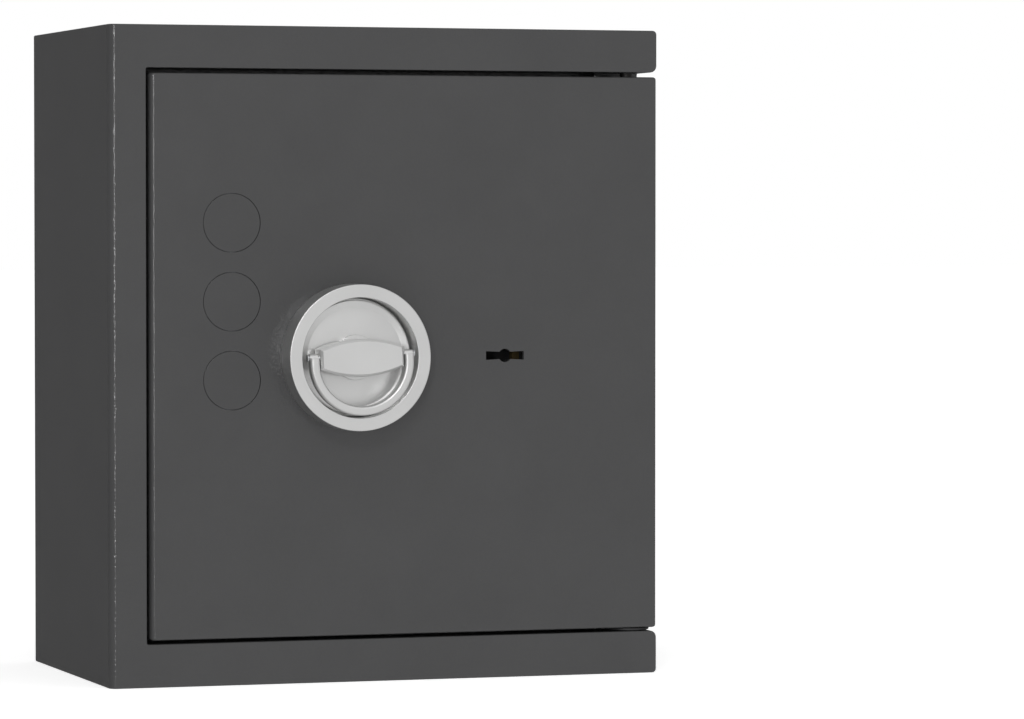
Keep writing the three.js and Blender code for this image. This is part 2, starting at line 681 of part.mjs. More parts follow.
function boltBar() {
  const forkX = HANDLE.x + CRANK_SIDE;
  const forkHalf = STUD + FORK.play;
  const forkBottom = HANDLE.z + CRANK_SIDE - forkHalf;
  const forkTop = HANDLE.z + CRANK + forkHalf;
  const reach = forkHalf + FORK.wall;
  const flangeRight = BAR.left + BAR_FLANGE.thick;
  const body = joined([
    box(BAR.left, BAR.spineRight, BAR.front, BAR.back, BAR.bottom, BAR.top),
    box(BAR.left, flangeRight, BAR.front, BAR_FLANGE.back, BAR.bottom, BAR.top),
    box(BAR.spineRight - TOL, ARM.right, BAR.front, BAR.back, ARM.bottom, ARM.top),
    box(forkX - reach, forkX + reach, BAR.front, BAR.back, forkBottom, ARM.bottom + TOL),
  ]);
  const notchHalf = LOCK_HEAD.half + LOCK_PLAY;
  const notchTop = LOCK_HEAD.top + LOCK_TRAVEL + TOL;
  const cutters = [
    box(forkX - forkHalf, forkX + forkHalf, BAR.front - TOL, BAR.back + TOL, forkBottom - TOL, forkTop),
    ...GUIDE_SPOTS.map(([x, z]) => slot(x, z, GUIDE.radius + GAP)),
    ...[KEY.x, KEY.x + THROW].map((x) =>
      box(x - notchHalf, x + notchHalf, BAR.front - TOL, BAR.back + TOL, ARM.bottom - TOL, notchTop)),
    ...BOLT.heights.map((z) => rodX(BOLT.y, z, RIVET.shank + GAP, BAR.left - TOL, flangeRight + TOL)),
  ];
  return cut(body, cutters);
}

// A round bolt with a rounded tip and a riveted tail through the bar's flange.
function bolt(z) {
  const rivetLeft = BAR.left + BAR_FLANGE.thick + GAP;
  const body = rodX(BOLT.y, z, BOLT.radius, BOLT.tip + BOLT.nose, BAR.left - GAP, RING);
  const nose = new THREE.CylinderGeometry(BOLT.radius, BOLT.radius - BOLT.nose, BOLT.nose, RING);
  nose.rotateZ(-Math.PI / 2);
  nose.translate(BOLT.tip + BOLT.nose / 2, BOLT.y, z);
  const tail = rodX(BOLT.y, z, RIVET.shank, BAR.left - TOL, rivetLeft + TOL);
  const rivet = rodX(BOLT.y, z, RIVET.head, rivetLeft, rivetLeft + RIVET.thick);
  return joined([body, solid(nose), tail, rivet]);
}

function barGuide([x, z, base]) {
  const seat = BAR.back + GAP;
  const head = rod(x, z, GUIDE.head, seat, seat + GUIDE.headThick);
  return rod(x, z, GUIDE.radius, base, seat + OVERLAP).add(head);
}

function boltwork() {
  add(door, "bolt_bar", boltBar(), zincSteel);
  add(door, "bolt_upper", bolt(BOLT.heights[0]), brightSteel);
  add(door, "bolt_lower", bolt(BOLT.heights[1]), brightSteel);
  GUIDE_SPOTS.forEach((spot, number) => {
    add(door, `bar_guide_${number + 1}`, barGuide(spot), zincSteel);
  });
}

// ---------------------------------------------------------------- key lock

function lockCase() {
  const { left, right, bottom, top, front, back, wall } = LOCK;
  const hollow = box(left + wall, right - wall, front + wall, back + TOL, bottom + wall, top - wall);
  const shell = box(left, right, front, back, bottom, top).subtract(hollow);
  const pillars = LOCK_SCREWS.map(([x, z]) => rod(x, z, LOCK_PILLAR, front + wall - OVERLAP, back));
  const post = rod(LEVER.x, LEVER.z, LEVER.post, front + wall - OVERLAP, back - TOL);
  const room = LOCK_HEAD.half + LOCK_PLAY;
  const [headFront, headBack] = [LOCK_HEAD.front - LOCK_PLAY, LOCK_HEAD.back + LOCK_PLAY];
  const cutters = [
    keyhole(KEY.relief, front - TOL, front + wall + TOL),
    box(KEY.x - room, KEY.x + room, headFront, headBack, top - wall - TOL, top + TOL),
    ...LOCK_SCREWS.map(([x, z]) => rod(x, z, M3.hole, back - 10, back + TOL)),
  ];
  return cut(joined([shell, ...pillars, post]), cutters);
}

function lockCover() {
  const front = LOCK.back + GAP;
  const back = front + LOCK.wall;
  const slab = box(LOCK.left, LOCK.right, front, back, LOCK.bottom, LOCK.top);
  return cut(slab, LOCK_SCREWS.map(([x, z]) => rod(x, z, M3.hole, front - TOL, back + TOL)));
}

function lockBolt() {
  const { half, top, front, back } = LOCK_HEAD;
  const tail = box(LOCK_TAIL.left, LOCK_TAIL.right, front, back, LOCK_TAIL.bottom, LOCK_TAIL.top);
  const head = box(KEY.x - half, KEY.x + half, front, back, LOCK_TAIL.top - TOL, top);
  const talon = rod(KEY.x, LOCK_TAIL.bottom, LOCK_TAIL.talon, front - TOL, back + TOL);
  return tail.add(head).subtract(talon);
}

// Thin plates on one post that the key lifts together, each with a belly around the key.
function lockLever(number) {
  const front = LEVER_STACK.front + number * LEVER_STACK.step;
  const back = front + LEVER_STACK.thick;
  const run = new THREE.Vector2(KEY.x - LEVER.x, KEY.z - LEVER.z);
  const across = new THREE.Vector2(-run.y, run.x).setLength(LEVER.arm);
  const arm = outline([
    [LEVER.x + across.x, LEVER.z + across.y],
    [LEVER.x - across.x, LEVER.z - across.y],
    [KEY.x - across.x, KEY.z - across.y],
    [KEY.x + across.x, KEY.z + across.y],
  ]);
  const body = joined([
    rod(LEVER.x, LEVER.z, LEVER.eye, front, back),
    plate(arm, front, back),
    rod(KEY.x, KEY.z, LEVER.ring, front, back, RING),
  ]);
  return cut(body, [
    rod(LEVER.x, LEVER.z, LEVER.hole, front - TOL, back + TOL),
    rod(KEY.x, KEY.z, LEVER.belly, front - TOL, back + TOL, RING),
  ]);
}

function keyLock() {
  add(door, "lock_case", lockCase(), lockCast);
  add(door, "lock_cover", lockCover(), lockCast);
  add(door, "lock_bolt", lockBolt(), brass);
  for (let number = 0; number < 3; number += 1) {
    add(door, `lock_lever_${number + 1}`, lockLever(number), brass);
  }
  LOCK_SCREWS.forEach(([x, z], number) => {
    const seat = LOCK.back + LOCK.wall + 2 * GAP;
    add(door, `lock_screw_${number + 1}`, screw(x, z, M3, seat - M3.reach, seat), zincSteel);
  });
}

// ---------------------------------------------------------------- the safe

add(safe, "outer_casing", outerCasing(), powderCoat);
add(safe, "back_plate", backPlate(), powderCoat);
add(safe, "inner_liner", innerLiner(), powderCoat);
insulation();
add(safe, "keeper_strip", keeperStrip(), zincSteel);
add(safe, "shelf", shelf(), powderCoat);
shelfPegs();
hinges();

add(door, "door_panel", doorPanel(), powderCoat);
blankingPlugs();
add(door, "armour_plate", armourPlate(), darkSteel);
add(door, "rear_cover", rearCover(), powderCoat);
coverScrews();
add(door, "hinge_side_bar", hingeSideBar(), powderCoat);
handleAssembly();
boltwork();
keyLock();

export default safe;
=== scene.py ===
"""Looks of a small wall safe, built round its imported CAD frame.

Lengths are millimetres until a mesh is finished, and then metres, in the frame of the CAD model:
+X to the right seen from the front, the front faces -Y, +Z up, the origin in the middle of the back.
"""

import json
import math

import bmesh
import bpy
from mathutils import Matrix, Vector


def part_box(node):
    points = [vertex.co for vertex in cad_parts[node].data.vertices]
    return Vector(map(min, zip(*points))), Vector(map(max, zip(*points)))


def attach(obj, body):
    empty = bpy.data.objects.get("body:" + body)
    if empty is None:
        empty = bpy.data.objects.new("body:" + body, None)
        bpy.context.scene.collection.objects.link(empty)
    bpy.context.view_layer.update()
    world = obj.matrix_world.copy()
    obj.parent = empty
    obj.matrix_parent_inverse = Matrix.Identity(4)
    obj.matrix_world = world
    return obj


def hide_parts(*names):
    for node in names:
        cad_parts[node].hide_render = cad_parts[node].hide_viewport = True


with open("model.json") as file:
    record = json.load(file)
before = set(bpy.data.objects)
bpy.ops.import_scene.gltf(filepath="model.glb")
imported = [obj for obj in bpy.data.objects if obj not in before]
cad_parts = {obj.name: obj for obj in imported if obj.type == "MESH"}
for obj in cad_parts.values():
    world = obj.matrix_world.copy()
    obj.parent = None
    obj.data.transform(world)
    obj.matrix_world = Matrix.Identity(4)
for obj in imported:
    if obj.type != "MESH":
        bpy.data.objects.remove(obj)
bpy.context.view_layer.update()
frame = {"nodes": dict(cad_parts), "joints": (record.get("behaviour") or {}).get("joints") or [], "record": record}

# ------------------------------------------------------------------ sizes

MM = 0.001
SHEET = 2.5
THIN = 1.5
GAP = 0.3  # clearance between pieces that touch
CUT = 5.0  # how far a cutting shape runs past what it cuts
OVERLAP = 1.0  # how far a joined or recessed shape runs into its neighbour
NEAR = 0.01  # two coordinates closer than this are the same
WELD = 0.002  # two vertices closer than this are merged
ON_AXIS = 1e-4  # a smaller radius is a point on the axis
HAIR, FINE, EASED, SOFT, ROUNDED, FULL = 0.1, 0.2, 0.3, 0.4, 0.5, 0.6  # radii of small corners
CAD_EASE = 0.25  # width of the rounding on the edges of the pieces kept from the CAD model
FLAT_ANGLE = 1  # degrees between faces that count as one flat face
EDGE_ANGLE = 40  # degrees between faces, above which their edge is rounded
SHARP_ANGLE = 32  # degrees between faces, above which they are shaded apart
FLAT_WEIGHT = 80  # how strongly large faces keep the shading of a plane
MOST_OF_HALF = 0.49  # the share of a side that the arc at one of its corners may take
ROUND_STEPS = {"small": 48, "usual": 64, "large": 96, "handle": 192}


def extent(node):
    """The lowest and highest corner of a CAD node, in mm."""
    low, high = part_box(node)
    return [c / MM for c in low], [c / MM for c in high]


def joint(name):
    """A joint of the CAD model, by its name."""
    return next(j for j in frame["joints"] if j["name"] == name)


(CASE_LEFT, FRONT, CASE_BOTTOM), (CASE_RIGHT, BACK, CASE_TOP) = extent("outer_casing")
(DOOR_LEFT, _, DOOR_BOTTOM), (DOOR_RIGHT, DOOR_BACK, DOOR_TOP) = extent("door_panel")

# Frame round the door: the gaps that show beside, above and below it.
GAP_LEFT = 1.6
GAP_TOP = 2.3
GAP_BOTTOM = 1.7
STILE_INNER = DOOR_LEFT - GAP_LEFT
RAIL_TOP = DOOR_TOP + GAP_TOP
RAIL_BOTTOM = DOOR_BOTTOM - GAP_BOTTOM
STILE_LIP_BACK = -141.5
JAMB_FRONT = -131.5
JAMB_LEFT = 117.0

DOOR_PLATE = 3.0
BEND = 4.0  # outside radius of the casing's front left edge
CASE_CORNER = 2.0  # radius at the right end of the top and bottom
RAIL_CORNER = 3.2  # radius at the doorway's end of each rail
SHELF_BEND = 1.6
DOOR_BEND = {"left": 3.0, "right": 2.0, "level": 1.4}
TAB = {"half": 6.0, "thick": 3.0, "beyond": 5.0}
HINGE = [c / MM for c in joint("door_hinge")["pos_m"]]
HINGE_HOLE = 4.8
PIN = {"radius": 3.0, "bore": 3.3, "round": 0.8}
BUSH = {"radius": 7.0, "neck": 4.5, "tall": 12.0}
PLUG = {"radius": 14.2, "hole": 14.4}

# Handle, measured from its own axis. Depths are true depths.
HANDLE = [c / MM for c in joint("handle_turn")["pos_m"]]
LIFT_AXIS = joint("bail_lift")["axis"]
SLACK = math.atan2(-LIFT_AXIS[2], -LIFT_AXIS[0])  # how far the grip stands off level
FACE = extent("handle_escutcheon")[0][1]
CUP = {"outer": 35.7, "inner": 29.3, "neck": 32.7, "bore": 7.3, "floor": -162.7, "back": -153.2,
       "lift": 0.05, "face_round": 0.55, "floor_round": 1.0}
DISH = {"rim": 27.9, "lip": 27.1, "flat": 24.2, "rim_front": -166.4, "front": -165.6, "back": -163.0,
        "lip_round": 0.25}
GRIP_FRONT = FACE - 3.6
GRIP = {"half": 21.0, "middle": 9.1, "end": 4.9, "back": -167.2, "chamfer": 1.2, "boss": 11.0,
        "clear": 0.1}
DROP_RING = {"radius": 23.9, "width": 4.4, "front": GRIP_FRONT, "back": -173.2, "drop": 1.9, "eye": 1.9,
             "back_round": 1.0, "front_round": 1.3, "stations": 72}
RING_PIN = {"y": FACE + 0.2, "z": 1.0, "radius": 1.0, "head": 1.8, "head_thick": 0.8, "reach": 26.4}

KEY = {"x": 60.3, "z": -0.9, "half": 9.8, "waist": 1.65, "tip": 2.15, "round": 3.3}

# Inside.
COVER = {"left": -113.0, "right": 108.0, "half": 127.0, "back": -118.0, "corner": 2.5, "bend": 2.0}
HOOK = {"thick": 3.0, "bend": 2.5}
BOLT = {"radius": 6.0, "bore": 6.3, "y": -132.0, "heights": (88.0, -88.0), "nose": 2.0}
RIVET = {"neck": 3.0, "head": 4.6, "thick": 2, "round": 1.0}
SCREW = {"shank": 1.5, "hole": 1.8, "head": 3.1, "thick": 1.8, "tip": 0.5, "crown": 1.3}
RECESS = {"long": 1.7, "wide": 0.4}  # half sizes of the cross in a screw's head
COVER_SCREWS = [(x, z) for x in (-112.0, 112.0) for z in (-131.5, 131.5)]
ANCHORS = [(x, z) for x in (-85.0, 85.0) for z in (-85.0, 85.0)]
ANCHOR = {"hole": 6.5, "clear": 7.5}
PEG = {"radius": 2.5, "hole": 2.8, "round": 0.7}
PEGS = [name for name in frame["nodes"] if name.startswith("shelf_peg")]

# Paint. Colours are linear, and lengths are mm.
RAMP_SPAN = (0.3, 0.7)  # the part of a noise's range that a ramp spreads over
PAINT = {"colour": (0.047, 0.047, 0.048), "roughness": 0.19, "reflection": 0.45}
PAINT_TONES = {"size": 45, "dark": (0.045, 0.045, 0.046), "light": (0.05, 0.05, 0.051)}
PAINT_GRAIN = {"size": 0.6, "depth": 0.015, "roughness": (0.16, 0.22)}
PAINT_PEEL = {"size": 2.0, "depth": 0.21}

# Stage, in metres. Brightness of the room is given at the two ends of each direction.
SKY = {"front_to_back": (0.72, 0.12), "left_to_right": (0.66, 1.2), "level_to_upright": (1.0, 1.6)}
FLOOR = {"size": 20, "tone": 0.9, "roughness": 0.9, "glow": 0.6}
SAFE_MIDDLE = (0, -0.1, 0)
WHITE = (1, 1, 1, 1)
KEY_LIGHT = {"place": (-2.1, -5.8, 3.4), "width": 1.5, "height": 1.5, "power": 80}
# The strip makes the glints on the rounded bends. It stands well to the left, because the door would
# mirror it in its texture from straight ahead.
STRIP_LIGHT = {"place": (-1.3, -2.9, 0.2), "width": 0.09, "height": 1.1, "power": 13}
CAMERA = {"place": (-0.704, -2.453, 0.065), "down": 1.61, "right": 18.517, "lens": 172.3, "sensor": 36,
          "clip_end": 100}


# ------------------------------------------------------------------ mesh tools

def cells(xs, ys, zs, is_solid):
    """The skin of the solid cells of a grid, which is how folded sheet is described here."""
    bm = bmesh.new()
    corners = {}

    def corner(key):
        if key not in corners:
            i, j, k = key
            corners[key] = bm.verts.new((xs[i], ys[j], zs[k]))
        return corners[key]

    def filled(cell):
        for index, lines in zip(cell, (xs, ys, zs)):
            if not 0 <= index < len(lines) - 1:
                return False
        return is_solid(*((lines[i] + lines[i + 1]) / 2 for i, lines in zip(cell, (xs, ys, zs))))

    for i in range(len(xs) - 1):
        for j in range(len(ys) - 1):
            for k in range(len(zs) - 1):
                cell = (i, j, k)
                if not filled(cell):
                    continue
                for axis in range(3):
                    for side in (0, 1):
                        beyond = list(cell)
                        beyond[axis] += 1 if side else -1
                        if filled(tuple(beyond)):
                            continue
                        ring = []
                        for a, b in ((0, 0), (1, 0), (1, 1), (0, 1)):
                            key = list(cell)
                            key[axis] += side
                            key[(axis + 1) % 3] += a
                            key[(axis + 2) % 3] += b
                            ring.append(corner(tuple(key)))
                        bm.faces.new(ring if side else ring[::-1])
    bm.normal_update()
    bmesh.ops.dissolve_limit(bm, angle_limit=math.radians(FLAT_ANGLE), verts=bm.verts, edges=bm.edges)
    return bm


def block(x0, x1, y0, y1, z0, z1):
    return cells([x0, x1], [y0, y1], [z0, z1], lambda x, y, z: True)


def line_edges(bm, along, span=None, **at):
    """The edges parallel to one axis at two fixed coordinates, with their middles inside a span."""
    axis = "xyz".index(along)
    found = []
    for edge in bm.edges:
        a, b = (v.co for v in edge.verts)
        lines = [("xyz".index(letter), value) for letter, value in at.items()]
        if any(max(abs(a[n] - value), abs(b[n] - value)) > NEAR for n, value in lines):
            continue
        middle = (a[axis] + b[axis]) / 2
        if span is None or span[0] < middle < span[1]:
            found.append(edge)
    return found


def edges_at(bm, letter, value):
    """The edges that lie in one plane across an axis."""
    n = "xyz".index(letter)
    return [edge for edge in bm.edges if all(abs(v.co[n] - value) < NEAR for v in edge.verts)]


def round_edges(bm, edges, radius, steps=4):
    bmesh.ops.bevel(bm, geom=edges, offset=radius, segments=steps, profile=0.5, affect="EDGES")


def filleted(points, steps=4, closed=False):
    """A polyline of (a, b, radius) corners with each corner turned into an arc of its radius."""
    out = []
    count = len(points)
    for n, (a, b, radius) in enumerate(points):
        here = Vector((a, b))
        if radius <= 0 or (not closed and n in (0, count - 1)):
            out.append((a, b))
            continue
        back = Vector(points[n - 1][:2]) - here
        ahead = Vector(points[(n + 1) % count][:2]) - here
        angle = back.angle(ahead)
        reach = min(radius / math.tan(angle / 2), back.length * MOST_OF_HALF, ahead.length * MOST_OF_HALF)
        size = reach * math.tan(angle / 2)
        centre = here + (back.normalized() + ahead.normalized()).normalized() * size / math.sin(angle / 2)
        start = here + back.normalized() * reach - centre
        sweep = start.angle_signed(here + ahead.normalized() * reach - centre)
        for s in range(steps + 1):
            turned_by = Matrix.Rotation(-sweep * s / steps, 2)
            p = centre + turned_by @ start
            out.append((p.x, p.y))
    return out


def turned(corners, steps=ROUND_STEPS["large"], closed=False):
    """A lathe shape about the Y axis from (radius, y, fillet) corners."""
    profile = filleted(corners, closed=closed)
    bm = bmesh.new()
    rings = []
    for radius, y in profile:
        if radius < ON_AXIS:
            rings.append([bm.verts.new((0, y, 0))] * steps)
            continue
        angles = [math.tau * s / steps for s in range(steps)]
        rings.append([bm.verts.new((radius * math.cos(t), y, radius * math.sin(t))) for t in angles])
    pairs = list(zip(rings, rings[1:]))
    if closed:
        pairs.append((rings[-1], rings[0]))
    for low, high in pairs:
        for s in range(steps):
            t = (s + 1) % steps
            face = list(dict.fromkeys((low[s], low[t], high[t], high[s])))
            if len(face) > 2:
                bm.faces.new(face)
    return bm


def placed(bm, x=0.0, y=0.0, z=0.0, turn=None):
    """The mesh turned by (angle, axis) and then moved."""
    matrix = Matrix.Translation((x, y, z))
    if turn:
        matrix = matrix @ Matrix.Rotation(turn[0], 4, turn[1])
    bm.transform(matrix)
    return bm


def rod(radius, start, end, round_off=0.0, steps=ROUND_STEPS["usual"]):
    """A round bar along Y between two points on it."""
    return turned([(0, start, 0), (radius, start, round_off), (radius, end, round_off), (0, end, 0)], steps)


def along_x(bm):
    """Lays a mesh made round the Y axis along the X axis, +Y to +X."""
    return placed(bm, turn=(-math.pi / 2, "Z"))


def along_z(bm):
    """Stands a mesh made round the Y axis along the Z axis, +Y to +Z."""
    return placed(bm, turn=(math.pi / 2, "X"))


def loft(loops):
    """Closed loops of points, each joined to the next, with a face over the first and the last."""
    bm = bmesh.new()
    rings = [[bm.verts.new(point) for point in loop] for loop in loops]
    for low, high in zip(rings, rings[1:]):
        for s in range(len(low)):
            t = (s + 1) % len(low)
            bm.faces.new((low[s], low[t], high[t], high[s]))
    bm.faces.new(rings[0])
    bm.faces.new(rings[-1][::-1])
    return bm


def prism(points, front, back):
    """A flat outline in X and Z made solid between two depths."""
    return loft([[(x, y, z) for x, z in points] for y in (front, back)])


def swept(path, section):
    """A section of (outward, forward) points carried along (point, outward) stations in the XZ plane."""
    forward = Vector((0, -1, 0))
    return loft([[point + outward * a + forward * b for a, b in section] for point, outward in path])


def tidy(bm):
    """Welds a mesh and turns its faces outward."""
    bmesh.ops.remove_doubles(bm, verts=bm.verts, dist=WELD)
    bmesh.ops.recalc_face_normals(bm, faces=bm.faces)
    return bm


def scratch(bm):
    """A throwaway object holding a mesh that is still in mm."""
    mesh = bpy.data.meshes.new("scratch")
    tidy(bm).to_mesh(mesh)
    bm.free()
    obj = bpy.data.objects.new("scratch", mesh)
    bpy.context.scene.collection.objects.link(obj)
    return obj


def combined(bm, others, operation="DIFFERENCE"):
    """The mesh with others cut from it, or joined to it."""
    base = scratch(bm)
    tools = [scratch(other) for other in others]
    for tool in tools:
        modifier = base.modifiers.new("boolean", "BOOLEAN")
        modifier.operation = operation
        modifier.solver = "EXACT"
        modifier.object = tool
    mesh = bpy.data.meshes.new_from_object(base.evaluated_get(bpy.context.evaluated_depsgraph_get()))
    result = bmesh.new()
    result.from_mesh(mesh)
    for obj in (base, *tools):
        bpy.data.objects.remove(obj)
    bpy.data.meshes.remove(mesh)
    return tidy(result)


def dress(obj, material):
    obj.data.materials.clear()
    obj.data.materials.append(material)


def piece(name, bm, body, slot, bevel=0.0, bevel_steps=3, stands_for=(), sharp=SHARP_ANGLE):
    """Finishes a mesh as a named piece of the safe that rides on a body."""
    tidy(bm)
    bm.transform(Matrix.Scale(MM, 4))
    mesh = bpy.data.meshes.new(name)
    bm.to_mesh(mesh)
    bm.free()
    mesh.shade_smooth()
    mesh.set_sharp_from_angle(angle=math.radians(sharp))
    obj = bpy.data.objects.new(name, mesh)
    bpy.context.scene.collection.objects.link(obj)
    if bevel:
        rounding = obj.modifiers.new("rounding", "BEVEL")
        rounding.width = bevel * MM
        rounding.segments = bevel_steps
        rounding.limit_method = "ANGLE"
        rounding.angle_limit = math.radians(EDGE_ANGLE)
        rounding.miter_outer = "MITER_ARC"
    flat = obj.modifiers.new("flat faces stay flat", "WEIGHTED_NORMAL")
    flat.keep_sharp = not bevel
    flat.weight = FLAT_WEIGHT
    dress(obj, MATERIALS[slot])
    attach(obj, body)
    if stands_for:
        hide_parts(*stands_for)


# ------------------------------------------------------------------ materials

def new_material(name, colour, metallic, roughness):
    material = bpy.data.materials.new(name)
    material.use_nodes = True
    shader = material.node_tree.nodes["Principled BSDF"]
    shader.inputs["Base Color"].default_value = (*colour, 1)
    shader.inputs["Metallic"].default_value = metallic
    shader.inputs["Roughness"].default_value = roughness
    return material, shader


def noise(tree, size, detail, roughness=0.5):
    """A noise whose features are about the given size in mm, in the object's own space."""
    place = tree.nodes.new("ShaderNodeTexCoord")
    texture = tree.nodes.new("ShaderNodeTexNoise")
    texture.inputs["Scale"].default_value = 1 / (size * MM)
    texture.inputs["Detail"].default_value = detail
    texture.inputs["Roughness"].default_value = roughness
    tree.links.new(place.outputs["Object"], texture.inputs["Vector"])
    return texture.outputs["Fac"]


def ramp(tree, factor, low, high):
    """Colours or grey levels from low to high over the middle part of the factor's range."""
    node = tree.nodes.new("ShaderNodeValToRGB")
    for element, position, value in zip(node.color_ramp.elements, RAMP_SPAN, (low, high)):
        element.position = position
        element.color = (*value, 1) if isinstance(value, tuple) else (value, value, value, 1)
    tree.links.new(factor, node.inputs["Fac"])
    return node.outputs["Color"]


def bump(tree, shader, height, depth, under=None):
    """Adds a height in mm to the shader's normal, over an earlier bump if one is given."""
    node = tree.nodes.new("ShaderNodeBump")
    node.inputs["Strength"].default_value = 1.0
    node.inputs["Distance"].default_value = depth * MM
    tree.links.new(height, node.inputs["Height"])
    if under:
        tree.links.new(under, node.inputs["Normal"])
    tree.links.new(node.outputs["Normal"], shader.inputs["Normal"])
    return node.outputs["Normal"]


def surface(name, colour, metallic, roughness, shade=0.06, patch=30.0, grain=0.6, depth=0.01):
    """A finish with soft patches of tone and gloss, and a fine grain."""
    material, shader = new_material(name, colour, metallic, sum(roughness) / 2)
    tree = material.node_tree
    patches = noise(tree, patch, detail=4)
    darker = tuple(c * (1 - shade) for c in colour)
    lighter = tuple(min(1.0, c * (1 + shade)) for c in colour)
    tree.links.new(ramp(tree, patches, darker, lighter), shader.inputs["Base Color"])
    fine = noise(tree, grain, detail=3)
    tree.links.new(ramp(tree, fine, *roughness), shader.inputs["Roughness"])
    bump(tree, shader, fine, depth)
    return material


def powder_coat():
    """Dark grey textured powder coat: a soft orange peel under a fine grain."""
    material, shader = new_material("powder_coat", PAINT["colour"], 0.0, PAINT["roughness"])
    shader.inputs["Specular IOR Level"].default_value = PAINT["reflection"]
    tree = material.node_tree
    patches = noise(tree, PAINT_TONES["size"], detail=5, roughness=0.6)
    tone = ramp(tree, patches, PAINT_TONES["dark"], PAINT_TONES["light"])
    tree.links.new(tone, shader.inputs["Base Color"])
    grain = noise(tree, PAINT_GRAIN["size"], detail=2, roughness=0.6)
    tree.links.new(ramp(tree, grain, *PAINT_GRAIN["roughness"]), shader.inputs["Roughness"])
    peel = noise(tree, PAINT_PEEL["size"], detail=1.5, roughness=0.4)
    first = bump(tree, shader, peel, PAINT_PEEL["depth"])
    bump(tree, shader, grain, PAINT_GRAIN["depth"], under=first)
    return material


def satin_metal():
    """Matt nickel on a blasted casting."""
    return surface("satin_metal", (0.75, 0.75, 0.745), 1.0, (0.36, 0.46), shade=0.03, grain=0.5, depth=0.008)


def insulation_board():
    colour = (0.6, 0.56, 0.48)
    return surface("insulation_board", colour, 0.0, (0.85, 0.95), shade=0.1, patch=8, grain=1.2, depth=0.2)


MATERIALS = {
    "powder_coat": powder_coat(),
    "satin_metal": satin_metal(),
    "bright_steel": surface("bright_steel", (0.6, 0.61, 0.62), 1.0, (0.2, 0.32), grain=0.3, depth=0.003),
    "zinc_steel": surface("zinc_steel", (0.5, 0.52, 0.55), 1.0, (0.3, 0.5), shade=0.12, patch=12),
    "brass_parts": surface("brass_parts", (0.33, 0.24, 0.11), 1.0, (0.4, 0.55), depth=0.004),
    "lock_casting": surface("lock_casting", (0.03, 0.03, 0.032), 0.2, (0.6, 0.8), grain=1.0, depth=0.05),
    "dark_steel": surface("dark_steel", (0.045, 0.043, 0.042), 0.8, (0.4, 0.55), shade=0.2, patch=18),
    "nylon": surface("nylon", (0.015, 0.015, 0.016), 0.0, (0.45, 0.6), grain=0.8, depth=0.02),
    "insulation_board": insulation_board(),
}


# ------------------------------------------------------------------ casing

def casing():
    """Folded sheet: a rounded bend at the front left, and lips that turn in round the doorway."""
    xs = [CASE_LEFT, CASE_LEFT + SHEET, STILE_INNER - SHEET, STILE_INNER]
    xs += [JAMB_LEFT, CASE_RIGHT - SHEET, CASE_RIGHT]
    ys = [FRONT, FRONT + SHEET, STILE_LIP_BACK, JAMB_FRONT, JAMB_FRONT + SHEET, BACK]
    zs = [CASE_BOTTOM, CASE_BOTTOM + SHEET, RAIL_BOTTOM - SHEET, RAIL_BOTTOM]
    zs += [RAIL_TOP, RAIL_TOP + SHEET, CASE_TOP - SHEET, CASE_TOP]

    def is_sheet(x, y, z):
        in_doorway = RAIL_BOTTOM < z < RAIL_TOP and x > STILE_INNER
        if in_doorway and y < JAMB_FRONT:
            return False
        side = x < CASE_LEFT + SHEET or x > CASE_RIGHT - SHEET
        level = z < CASE_BOTTOM + SHEET or z > CASE_TOP - SHEET
        face = y < FRONT + SHEET
        stile_lip = STILE_INNER - SHEET < x < STILE_INNER and y < STILE_LIP_BACK
        stile_lip = stile_lip and RAIL_BOTTOM - SHEET < z < RAIL_TOP + SHEET
        in_rail_lip = RAIL_TOP < z < RAIL_TOP + SHEET or RAIL_BOTTOM - SHEET < z < RAIL_BOTTOM
        rail_lip = in_rail_lip and x > STILE_INNER - SHEET and y < JAMB_FRONT + SHEET
        jamb = in_doorway and x > JAMB_LEFT and y < JAMB_FRONT + SHEET
        return side or level or face or stile_lip or rail_lip or jamb

    bm = cells(xs, ys, zs, is_sheet)
    round_edges(bm, line_edges(bm, "z", x=CASE_LEFT, y=FRONT), BEND, steps=10)
    for level in (CASE_TOP, CASE_BOTTOM):
        round_edges(bm, line_edges(bm, "y", x=CASE_RIGHT, z=level), CASE_CORNER)
    for level in (RAIL_TOP, RAIL_BOTTOM):
        ends = line_edges(bm, "y", span=(FRONT, JAMB_FRONT), x=CASE_RIGHT, z=level)
        round_edges(bm, ends, RAIL_CORNER)
    holes = [placed(along_z(rod(PIN["bore"], low, low + 2 * CUT)), HINGE[0], HINGE[1])
             for low in (RAIL_TOP - CUT, RAIL_BOTTOM - CUT)]
    bm = combined(bm, holes)
    piece("casing_shell", bm, "casing", "powder_coat", bevel=1.0, stands_for=["outer_casing"])


def back_plate():
    (left, front, bottom), (right, back, top) = extent("back_plate")
    bm = block(left, right, front, back, bottom, top)
    bm = combined(bm, [placed(rod(ANCHOR["hole"], front - CUT, back + CUT), x, 0, z) for x, z in ANCHORS])
    piece("rear_plate", bm, "casing", "powder_coat", bevel=0.5, stands_for=["back_plate"])


